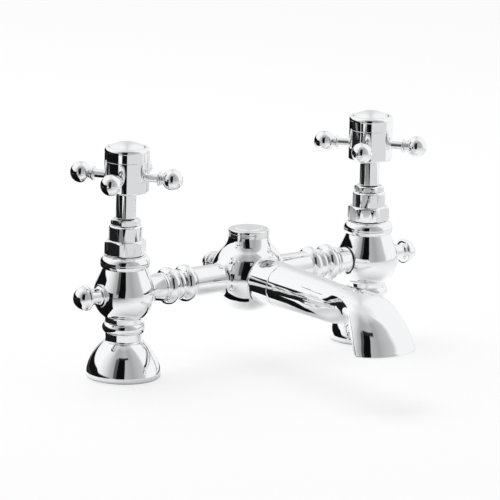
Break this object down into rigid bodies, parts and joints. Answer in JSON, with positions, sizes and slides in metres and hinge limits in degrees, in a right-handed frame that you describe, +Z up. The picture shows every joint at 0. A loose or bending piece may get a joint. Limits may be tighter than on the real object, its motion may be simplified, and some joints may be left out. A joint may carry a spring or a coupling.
{
  "type": "bath filler mixer",
  "caption": "Traditional two-pillar bath filler mixer in polished chrome with crosshead handles and a broad turned-down spout.",
  "frame": {"origin": "on the deck plane, midway between the axes of the two pillars", "axes": "+X along the crossbar to the right pillar, -Y the way the spout reaches, +Z up"},
  "size_m": [0.2506, 0.1929, 0.1415],
  "materials": {
    "chrome": "mirror-polished chrome plate on brass",
    "brass": "turned brass, unplated",
    "steel": "plain stainless steel",
    "rubber": "moulded rubber, matt",
    "ptfe": "turned PTFE, matt"
  },
  "bodies": {
    "mixer": {"centre_body": "chrome", "top_cap": "chrome", "rear_finial": "chrome", "spout": "chrome", "top_cap_seal": "rubber", "spout_seal": "rubber", "spout_grub_screw": "steel", "left_foot_bell": "chrome", "left_pillar_body": "chrome", "left_side_finial": "chrome", "left_union_ring": "chrome", "left_beaded_connector": "chrome", "left_headwork_body": "chrome", "left_gland_nut": "chrome", "left_foot_gasket": "rubber", "left_foot_seal": "rubber", "left_connector_seal": "rubber", "left_arm_seal": "rubber", "left_headwork_seal": "rubber", "left_gland_packing": "ptfe", "left_thrust_washer": "ptfe", "right_foot_bell": "chrome", "right_pillar_body": "chrome", "right_side_finial": "chrome", "right_union_ring": "chrome", "right_beaded_connector": "chrome", "right_headwork_body": "chrome", "right_gland_nut": "chrome", "right_foot_gasket": "rubber", "right_foot_seal": "rubber", "right_connector_seal": "rubber", "right_arm_seal": "rubber", "right_headwork_seal": "rubber", "right_gland_packing": "ptfe", "right_thrust_washer": "ptfe"},
    "left_handle": {"left_spindle": "brass", "left_handle_screw": "steel", "left_stem_sleeve": "chrome", "left_handle_hub": "chrome", "left_handle_arms": "chrome", "left_handle_cap": "chrome", "left_index_disc": "chrome", "left_spindle_circlip": "steel"},
    "left_jumper": {"left_jumper": "brass", "left_tap_washer": "rubber", "left_washer_screw": "brass"},
    "right_handle": {"right_spindle": "brass", "right_handle_screw": "steel", "right_stem_sleeve": "chrome", "right_handle_hub": "chrome", "right_handle_arms": "chrome", "right_handle_cap": "chrome", "right_index_disc": "chrome", "right_spindle_circlip": "steel"},
    "right_jumper": {"right_jumper": "brass", "right_tap_washer": "rubber", "right_washer_screw": "brass"}
  },
  "joints": [
    {"name": "left_handle_turn", "type": "hinge", "parent": "mixer", "child": "left_handle", "pos_m": [-0.09, 0, 0.1], "axis": [0, 0, 1], "range_deg": [0, 540]},
    {"name": "left_valve_lift", "type": "slide", "parent": "mixer", "child": "left_jumper", "axis": [0, 0, 1], "range_m": [0, 0.0045]},
    {"name": "right_handle_turn", "type": "hinge", "parent": "mixer", "child": "right_handle", "pos_m": [0.09, 0, 0.1], "axis": [0, 0, 1], "range_deg": [0, 540]},
    {"name": "right_valve_lift", "type": "slide", "parent": "mixer", "child": "right_jumper", "axis": [0, 0, 1], "range_m": [0, 0.0045]}
  ],
  "couplings": [
    {"joint": "left_valve_lift", "follows": "left_handle_turn", "m_per_rad": 0.00047746},
    {"joint": "right_valve_lift", "follows": "right_handle_turn", "m_per_rad": 0.00047746}
  ]
}
